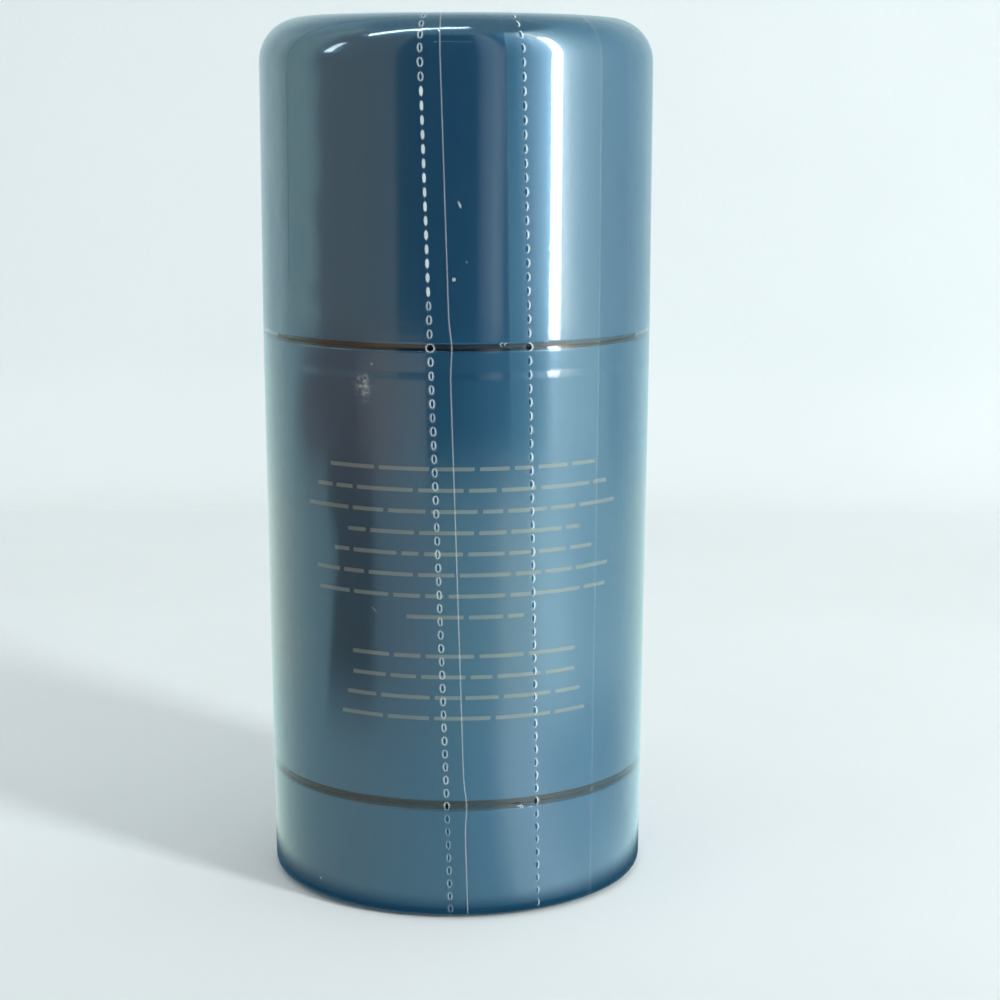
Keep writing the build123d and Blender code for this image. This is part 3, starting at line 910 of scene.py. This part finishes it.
class STICK_OT_stage(bpy.types.Operator):
    """Set the pale floor and wall, the soft lights, what the gloss reflects, and the camera"""

    bl_idname = "stick.stage"
    bl_label = "Stage"

    # What stands round the stage, as seen in the gloss: azimuth in degrees from the front,
    # + to +X, with the light that comes from there.
    FAR = (
        (-180, (0.46, 0.63, 0.67)),
        (-140, (0.48, 0.65, 0.69)),
        (-124, (0.66, 0.87, 0.84)),
        (-112, (0.60, 0.78, 0.70)),
        (-96, (0.84, 0.99, 0.83)),
        (-88, (0.70, 0.80, 0.66)),
        (-83, (0.50, 0.42, 0.33)),
        (-62, (0.48, 0.40, 0.29)),
        (-48, (0.43, 0.35, 0.25)),
        (-35, (0.42, 0.34, 0.24)),
        (-31, (0.11, 0.10, 0.11)),
        (-22, (0.06, 0.06, 0.10)),
        (12, (0.06, 0.06, 0.11)),
        (15.5, (0.36, 0.34, 0.38)),
        (20, (0.55, 0.58, 0.60)),
        (21.5, (0.84, 0.88, 0.86)),
        (23.5, (0.84, 0.88, 0.86)),
        (25, (0.16, 0.20, 0.30)),
        (29, (0.18, 0.28, 0.38)),
        (33, (0.36, 0.72, 0.82)),
        (40, (0.86, 1.20, 1.30)),
        (47, (1.25, 1.70, 1.85)),
        (53, (2.10, 2.85, 3.00)),
        (66, (5.0, 4.9, 4.1)),
        (71, (3.2, 3.5, 3.2)),
        (80, (2.0, 2.45, 2.3)),
        (97, (1.15, 1.55, 1.52)),
        (115, (0.72, 1.05, 1.18)),
        (129, (0.55, 0.86, 0.96)),
        (145, (0.47, 0.71, 0.80)),
        (180, (0.46, 0.63, 0.67)),
    )
    # The floor 0.4 m from the pack's axis, then 0.14 m, then close to the pack.
    MIDDLE = (
        (-180, (0.50, 0.72, 0.76)),
        (-111, (0.60, 0.80, 0.74)),
        (-93, (0.46, 0.34, 0.25)),
        (-62, (0.40, 0.19, 0.10)),
        (-42, (0.68, 0.45, 0.30)),
        (-26, (0.61, 0.51, 0.38)),
        (-19, (0.58, 0.52, 0.42)),
        (-15, (0.08, 0.13, 0.16)),
        (-1, (0.08, 0.15, 0.19)),
        (15, (0.16, 0.28, 0.38)),
        (25, (0.20, 0.36, 0.46)),
        (32, (0.30, 0.55, 0.68)),
        (42, (0.62, 0.92, 1.00)),
        (52, (1.15, 1.56, 1.52)),
        (58, (2.30, 2.60, 2.40)),
        (70, (2.00, 2.52, 2.34)),
        (87, (1.60, 2.10, 2.00)),
        (105, (0.75, 1.13, 1.20)),
        (127, (0.58, 0.90, 1.02)),
        (180, (0.50, 0.72, 0.76)),
    )
    NEAR = (
        (-180, (0.60, 0.82, 0.82)),
        (-100, (0.68, 0.82, 0.70)),
        (-80, (0.60, 0.72, 0.62)),
        (-74, (0.27, 0.18, 0.08)),
        (-50, (0.25, 0.15, 0.05)),
        (-42, (0.48, 0.46, 0.38)),
        (-24, (0.59, 0.60, 0.52)),
        (-1, (0.60, 0.84, 0.76)),
        (14, (0.72, 1.00, 0.93)),
        (22, (0.92, 1.16, 1.06)),
        (26, (1.35, 1.60, 1.36)),
        (40, (1.60, 1.92, 1.70)),
        (52, (2.15, 2.65, 2.45)),
        (60, (2.15, 2.65, 2.45)),
        (77, (1.50, 1.97, 1.90)),
        (114, (0.78, 1.17, 1.20)),
        (140, (0.62, 0.88, 0.88)),
        (180, (0.60, 0.82, 0.82)),
    )
    CLOSE = (
        (-180, (0.56, 0.80, 0.82)),
        (-84, (0.60, 0.78, 0.70)),
        (-50, (0.64, 0.72, 0.64)),
        (-19, (0.56, 0.76, 0.73)),
        (-1, (0.56, 0.78, 0.74)),
        (16, (0.64, 0.98, 1.05)),
        (21, (0.90, 1.20, 1.20)),
        (26, (1.35, 1.66, 1.58)),
        (41, (1.62, 1.92, 1.90)),
        (56, (1.22, 1.60, 1.60)),
        (76, (0.98, 1.42, 1.50)),
        (95, (0.72, 1.06, 1.13)),
        (180, (0.56, 0.80, 0.82)),
    )

    def execute(self, context):
        stage = context.scene.stick_stage
        self.surroundings = self.surroundings_group()
        self.floor(stage)
        self.lights(stage)
        self.world(stage)
        self.camera(stage)
        context.scene.view_settings.view_transform = "Standard"
        return {"FINISHED"}

    # ---- floor and wall
    def paint(self, stage):
        """Matt paint with a faint mottle and painted shade, darker towards the camera and up the
        wall, seen only from its front.
        """
        material, nodes, output = new_material("pale_paint")
        place = nodes.add("ShaderNodeTexCoord").outputs["Object"]
        mottle = nodes.add("ShaderNodeTexNoise", {"Vector": place, "Scale": 9.0, "Detail": 5.0})
        grain = nodes.add("ShaderNodeTexNoise", {"Vector": place, "Scale": 900.0, "Detail": 2.0})
        dimmer = tuple(0.965 * channel for channel in stage.floor)
        tone = nodes.mix(nodes.smooth(mottle.outputs["Fac"], 0.3, 0.7), dimmer, stage.floor)
        # painted shade: the paint darkens towards the camera and up the wall, where the light falls
        # off
        depth = nodes.add("ShaderNodeSeparateXYZ", {"Vector": place}).outputs["Y"]
        front = nodes.mix(nodes.smooth(depth, -0.16, 0.02), (0.76, 0.77, 0.78), (1, 1, 1))
        back = nodes.mix(nodes.smooth(depth, 0.24, 0.285), (1, 1, 1), (0.90, 0.92, 0.92))
        tone = nodes.mix(1.0, nodes.mix(1.0, tone, front, "MULTIPLY"), back, "MULTIPLY")
        relief = nodes.add(
            "ShaderNodeBump",
            {"Strength": 0.3, "Distance": 0.1 * MM, "Height": grain.outputs["Fac"]},
        )
        matt = nodes.add(
            "ShaderNodeBsdfDiffuse", {"Color": tone, "Normal": relief.outputs["Normal"]}
        )
        clear = nodes.add("ShaderNodeBsdfTransparent")
        behind = nodes.add("ShaderNodeNewGeometry").outputs["Backfacing"]
        both = nodes.add("ShaderNodeMixShader", {0: behind, 1: matt.outputs[0], 2: clear.outputs[0]})
        nodes.tree.links.new(both.outputs[0], output.inputs["Surface"])
        return material

    def strip_mesh(self, name, profile, half_width, material):
        """A sheet drawn along X from a (y, z) profile."""
        points = [(side * half_width, y, z) for side in (-1, 1) for y, z in profile]
        count = len(profile)
        faces = [(i, count + i, count + i + 1, i + 1) for i in range(count - 1)]
        sheet = mesh_object(name, points, faces, material)
        sheet.data.shade_smooth()
        return sheet

    def floor(self, stage):
        paint = self.paint(stage)
        reach, sweep, top = 2.5, 0.035, 1.6
        edge = stage.wall_distance - sweep
        ground = self.strip_mesh("floor", [(-reach, 0), (0, 0), (edge, 0)], reach, paint)
        bends = np.linspace(0, QUARTER_TURN, 12)
        profile = [
            (edge + sweep * math.sin(bend), sweep * (1 - math.cos(bend))) for bend in bends
        ]
        profile.append((stage.wall_distance, top))
        wall = self.strip_mesh("wall", profile, reach, paint)
        for sheet in (ground, wall):  # the gloss sees the surroundings instead
            sheet.visible_glossy = False
        wall.visible_shadow = False
        self.glow()

    # ---- what the gloss reflects
    def surroundings_group(self):
        """Light from round the stage by azimuth, for any vector out of the pack's axis."""
        tree, nodes, given, result = new_group(
            "surroundings",
            [("Vector", "Vector"), ("Height", "Float")],
            [(name, "Color") for name in ("Far", "Middle", "Near", "Close")],
        )
        parts = nodes.add("ShaderNodeSeparateXYZ", {"Vector": given.outputs["Vector"]})
        ahead = nodes.math("MULTIPLY", parts.outputs["Y"], -1.0)
        turn = nodes.math("ARCTAN2", parts.outputs["X"], ahead)
        share = nodes.math("MULTIPLY_ADD", turn, 0.5 / HALF_TURN, 0.5)
        # the left side has a ragged edge, as cloth and an arm would
        seed = nodes.add(
            "ShaderNodeCombineXYZ",
            {
                "X": nodes.math("MULTIPLY", turn, 1.2),
                "Y": nodes.math("MULTIPLY", given.outputs["Height"], 9.0),
            },
        )
        ragged = nodes.add(
            "ShaderNodeTexNoise", {"Vector": seed.outputs[0], "Scale": 1.6, "Detail": 3.0}
        ).outputs["Fac"]
        left = nodes.math("SUBTRACT", 1.0, nodes.smooth(share, 0.30, 0.34))
        sway = nodes.math("MULTIPLY", nodes.math("SUBTRACT", ragged, 0.5), left)
        swayed = nodes.math("MULTIPLY_ADD", sway, 0.09, share)
        belts = {"Far": self.FAR, "Middle": self.MIDDLE, "Near": self.NEAR, "Close": self.CLOSE}
        for socket, stops in belts.items():
            ramp = nodes.ramp(swayed, [(0.5 + turn / 360, light) for turn, light in stops])
            nodes.tree.links.new(ramp, result.inputs[socket])
        return tree

    def glow(self):
        """A disc just over the floor that only gloss sees: the light that the floor gives back."""
        material, nodes, output = new_material("floor_in_gloss")
        place = nodes.add("ShaderNodeTexCoord").outputs["Object"]
        away = nodes.add("ShaderNodeVectorMath", {0: place}, operation="LENGTH").outputs["Value"]
        round_it = nodes.add("ShaderNodeGroup", {"Vector": place}, node_tree=self.surroundings)
        nodes.tree.links.new(nodes.math("MULTIPLY", away, -0.4), round_it.inputs["Height"])
        # painted shade: right by the pack the disc starts dark, the floor's contact shadow as the
        # gloss sees it
        seen = (0.05, 0.11, 0.16)
        for belt, start, full in (
            ("Close", 0.0245, 0.031),
            ("Near", 0.075, 0.14),
            ("Middle", 0.24, 0.39),
            ("Far", 0.50, 0.85),
        ):
            seen = nodes.mix(nodes.smooth(away, start, full), seen, round_it.outputs[belt])
        light = nodes.add("ShaderNodeEmission", {"Color": seen})
        nodes.tree.links.new(light.outputs[0], output.inputs["Surface"])
        count, inner, outer, lift = 96, 0.001, 1.0, 0.3 * MM
        turns = np.linspace(0, 2 * HALF_TURN, count, endpoint=False)
        points = np.concatenate([round_points(radius, lift, turns) for radius in (inner, outer)])
        faces = [(i, count + i, count + (i + 1) % count, (i + 1) % count) for i in range(count)]
        disc = mesh_object("floor_glow", points.tolist(), faces, material)
        self.only_in_gloss(disc)

    @staticmethod
    def only_in_gloss(thing):
        thing.visible_camera = False
        thing.visible_diffuse = False
        thing.visible_shadow = False
        thing.visible_transmission = False

    def lamp_panel(self, name, corners, strength, tint):
        """A glowing four-cornered panel that only gloss sees."""
        material, nodes, output = new_material(name)
        light = nodes.add("ShaderNodeEmission", {"Color": (*tint, 1), "Strength": strength})
        nodes.tree.links.new(light.outputs[0], output.inputs["Surface"])
        panel = mesh_object(name, corners, [(0, 1, 2, 3)], material)
        self.only_in_gloss(panel)

    def lights(self, stage):
        def place(distance, degrees, height):
            return round_points(distance, height, math.radians(degrees)).tolist()

        def panel(*corners):
            return [place(*corner) for corner in corners]

        cool, warm = (0.97, 1.0, 0.98), (1.0, 0.82, 0.58)
        # corners by distance from the axis, azimuth and height; the strip leans in at its top
        low, high = 0.0135, 0.62
        strip = panel((0.55, 54.8, low), (0.55, 61.9, low), (0.50, 67.9, high), (0.50, 61.4, high))
        self.lamp_panel("strip_light", strip, 15.0, cool)
        left, right, up = -0.62, 0.06, 0.9
        tube = [(left, -0.285, up), (left, -0.225, up), (right, -0.110, up), (right, -0.155, up)]
        self.lamp_panel("ceiling_tube", tube, 14.0, cool)
        spot = panel((0.6, -80, 0.24), (0.6, -74, 0.24), (0.6, -72, 0.47), (0.6, -74.5, 0.47))
        self.lamp_panel("side_window", spot, 7.0, cool)
        # painted reflection: a thin warm line that glows for the gloss alone, though no lamp stands
        # there, and shows on the cap's shoulder
        warm_line = panel((0.6, -14, 0.60), (0.6, 12, 0.59), (0.6, 12, 0.605), (0.6, -14, 0.615))
        self.lamp_panel("warm_line_in_gloss", warm_line, 1.8, warm)

        lamp = bpy.data.lights.new("soft_key", "AREA")
        lamp.shape = "RECTANGLE"
        lamp.size, lamp.size_y = 0.10, 0.24
        lamp.energy = stage.key_power
        lamp.color = (0.95, 1.0, 0.99)
        key = bpy.data.objects.new("soft_key", lamp)
        key.location = place(0.66, 49, 0.30)
        aim = Vector((0, 0, 0.03)) - key.location
        key.rotation_euler = aim.to_track_quat("-Z", "Y").to_euler()
        key.visible_glossy = False
        bpy.context.scene.collection.objects.link(key)

    def world(self, stage):
        """Even pale light round the stage; gloss sees the surroundings instead."""
        world = bpy.data.worlds.new("studio")
        world.use_nodes = True
        world.node_tree.nodes.clear()
        nodes = Nodes(world.node_tree)
        output = nodes.add("ShaderNodeOutputWorld")
        place = nodes.add("ShaderNodeTexCoord").outputs["Generated"]
        parts = nodes.add("ShaderNodeSeparateXYZ", {"Vector": place})
        rise = parts.outputs["Z"]
        round_it = nodes.add("ShaderNodeGroup", {"Vector": place}, node_tree=self.surroundings)
        nodes.tree.links.new(nodes.math("MULTIPLY", rise, 4.0), round_it.inputs["Height"])
        # the white backdrop fills a cone behind the pack, edged by a thin dark line
        inside = nodes.add(
            "ShaderNodeVectorMath", {0: place, 1: (-0.384, 0.916, 0.122)}, operation="DOT_PRODUCT"
        ).outputs["Value"]
        edge = 0.72
        ceiling = nodes.smooth(rise, 0.83, 0.91)
        outside = nodes.math("LESS_THAN", inside, edge)
        ceiling = nodes.math("MULTIPLY", ceiling, outside)
        seen = nodes.mix(ceiling, round_it.outputs["Far"], (0.42, 0.52, 0.48))
        line = nodes.math("COMPARE", inside, edge, 0.0045)
        seen = nodes.mix(nodes.math("MULTIPLY", line, 0.72), seen, (0.05, 0.08, 0.08))
        ray = nodes.add("ShaderNodeLightPath").outputs

        def background(light, strength):
            inputs = {"Color": light, "Strength": strength}
            return nodes.add("ShaderNodeBackground", inputs).outputs[0]

        def switch(which, other, one):
            return nodes.add("ShaderNodeMixShader", {0: ray[which], 1: other, 2: one}).outputs[0]

        even = background((0.93, 1.0, 1.0, 1), stage.ambient)
        shown = background((0.80, 0.87, 0.88, 1), 1.0)
        last = switch("Is Camera Ray", switch("Is Glossy Ray", even, background(seen, 1.0)), shown)
        nodes.tree.links.new(last, output.inputs["Surface"])
        bpy.context.scene.world = world

    def camera(self, stage):
        data = bpy.data.cameras.new("camera")
        data.lens = stage.camera_lens
        data.sensor_width = 36
        data.clip_start = 0.01
        camera = bpy.data.objects.new("camera", data)
        bpy.context.scene.collection.objects.link(camera)
        look = Matrix.Rotation(QUARTER_TURN - stage.camera_pitch, 4, "X")
        lean = Matrix.Rotation(stage.camera_roll, 4, "Z")
        place = Matrix.Translation((stage.camera_x, -stage.camera_distance, stage.camera_height))
        camera.matrix_world = place @ look @ lean
        bpy.context.scene.camera = camera


class STICK_PT_panel(bpy.types.Panel):
    """The pack's pieces and its stage, in the order in which they are made"""

    bl_label = "Sleeved Stick"
    bl_idname = "STICK_PT_panel"
    bl_space_type = "VIEW_3D"
    bl_region_type = "UI"
    bl_category = "Stick"

    def draw(self, context):
        for operator in OPERATORS:
            self.layout.operator(operator.bl_idname)
        for group in ("stick_sleeve", "stick_finish", "stick_print", "stick_stage"):
            settings = getattr(context.scene, group)
            box = self.layout.box()
            for name in settings.__annotations__:
                box.prop(settings, name)


OPERATORS = (
    STICK_OT_blue_shells,
    STICK_OT_inner_parts,
    STICK_OT_product,
    STICK_OT_sleeve,
    STICK_OT_print,
    STICK_OT_stage,
)
SETTINGS = {
    "stick_sleeve": StickSleeveSettings,
    "stick_finish": StickFinishSettings,
    "stick_print": StickPrintSettings,
    "stick_stage": StickStageSettings,
}
CLASSES = (*SETTINGS.values(), *OPERATORS, STICK_PT_panel)


def register():
    for cls in CLASSES:
        bpy.utils.register_class(cls)
    for name, group in SETTINGS.items():
        setattr(bpy.types.Scene, name, bpy.props.PointerProperty(type=group))


def unregister():
    for name in SETTINGS:
        delattr(bpy.types.Scene, name)
    for cls in reversed(CLASSES):
        bpy.utils.unregister_class(cls)


def main():
    """Makes every piece and the stage."""
    register()
    bpy.ops.stick.blue_shells()
    bpy.ops.stick.inner_parts()
    bpy.ops.stick.product()
    bpy.ops.stick.sleeve()
    bpy.ops.stick.print_lines()
    bpy.ops.stick.stage()


if __name__ == "__main__":
    main()
